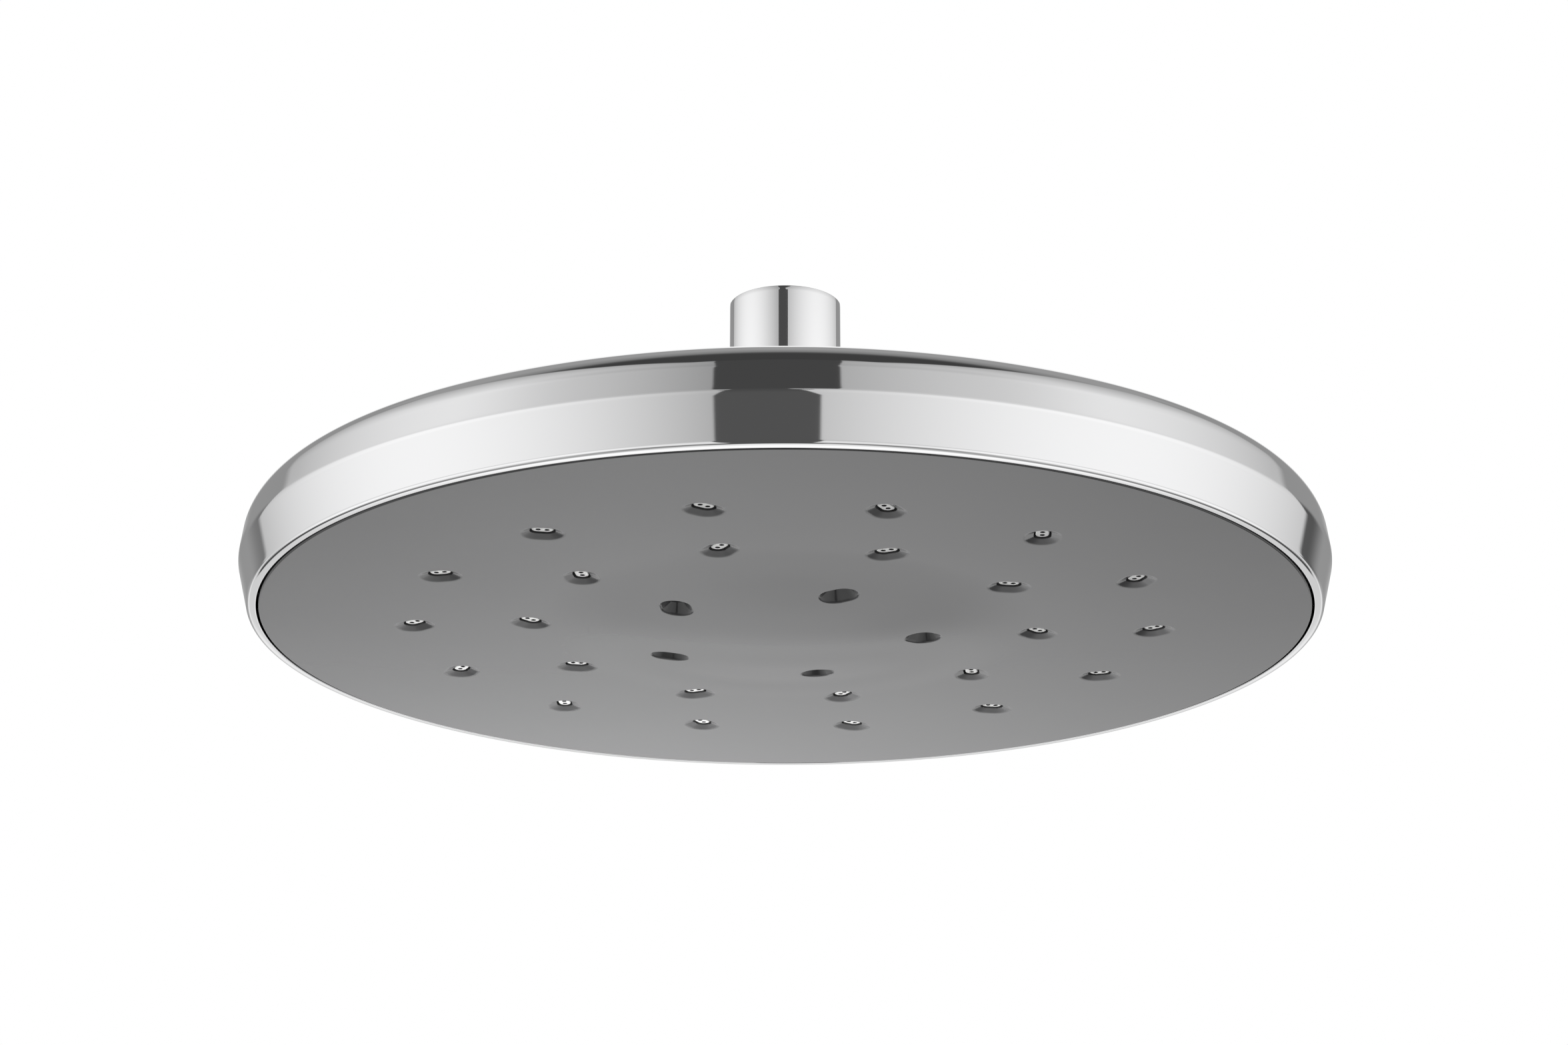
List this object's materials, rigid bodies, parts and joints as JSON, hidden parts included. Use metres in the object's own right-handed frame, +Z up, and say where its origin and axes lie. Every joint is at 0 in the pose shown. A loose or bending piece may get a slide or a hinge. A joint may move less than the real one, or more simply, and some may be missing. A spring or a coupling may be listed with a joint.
{
  "type": "rain shower head",
  "caption": "Round rain shower head: chromed domed shell, dark grey face with countersunk oblong nozzles, ball joint with a threaded inlet.",
  "frame": {"origin": "on the inlet's axis, where the thread's wall starts just inside the mouth", "axes": "+Z up the inlet's axis, out of its mouth towards the supply pipe; the face looks down along -Z"},
  "size_m": [0.2498, 0.2498, 0.0835],
  "materials": {
    "chrome_plate": "bright chrome plating",
    "face_grey": "smooth dark grey moulding",
    "nozzle_tip": "pale moulded insert",
    "black_rubber": "moulded seal",
    "steel_mesh": "woven screen",
    "white_acetal": "natural acetal",
    "moulded_core": "moulded structural plastic",
    "screw_steel": "plain steel"
  },
  "bodies": {
    "inlet": {"inlet_connector": "chrome_plate", "inlet_washer": "black_rubber", "inlet_strainer": "steel_mesh", "flow_regulator_body": "white_acetal", "flow_regulator_ring": "black_rubber"},
    "liner": {"ball_liner": "white_acetal"},
    "head": {"ball_collar": "chrome_plate", "back_shell": "chrome_plate", "ball_seal": "black_rubber", "shell_gasket": "black_rubber", "chamber_seal": "black_rubber", "chamber_cover": "moulded_core", "nozzle_plate": "moulded_core", "cover_screws": "screw_steel", "face_screws": "screw_steel", "face_plate": "face_grey", "nozzle_outer_01": "nozzle_tip", "nozzle_outer_02": "nozzle_tip", "nozzle_outer_03": "nozzle_tip", "nozzle_outer_04": "nozzle_tip", "nozzle_outer_05": "nozzle_tip", "nozzle_outer_06": "nozzle_tip", "nozzle_outer_07": "nozzle_tip", "nozzle_outer_08": "nozzle_tip", "nozzle_outer_09": "nozzle_tip", "nozzle_outer_10": "nozzle_tip", "nozzle_outer_11": "nozzle_tip", "nozzle_outer_12": "nozzle_tip", "nozzle_outer_13": "nozzle_tip", "nozzle_outer_14": "nozzle_tip", "nozzle_inner_01": "nozzle_tip", "nozzle_inner_02": "nozzle_tip", "nozzle_inner_03": "nozzle_tip", "nozzle_inner_04": "nozzle_tip", "nozzle_inner_05": "nozzle_tip", "nozzle_inner_06": "nozzle_tip", "nozzle_inner_07": "nozzle_tip", "nozzle_inner_08": "nozzle_tip", "nozzle_inner_09": "nozzle_tip", "nozzle_inner_10": "nozzle_tip", "nozzle_centre_01": "nozzle_tip", "nozzle_centre_02": "nozzle_tip", "nozzle_centre_03": "nozzle_tip", "nozzle_centre_04": "nozzle_tip", "nozzle_centre_05": "nozzle_tip"}
  },
  "joints": [
    {"name": "swivel_turn", "type": "hinge", "parent": "inlet", "child": "liner", "pos_m": [0, 0, -0.03588], "axis": [0, 0, 1], "continuous": true},
    {"name": "swivel_tilt", "type": "hinge", "parent": "liner", "child": "head", "pos_m": [0, 0, -0.03588], "axis": [1, 0, 0], "range_deg": [-12, 12]}
  ]
}
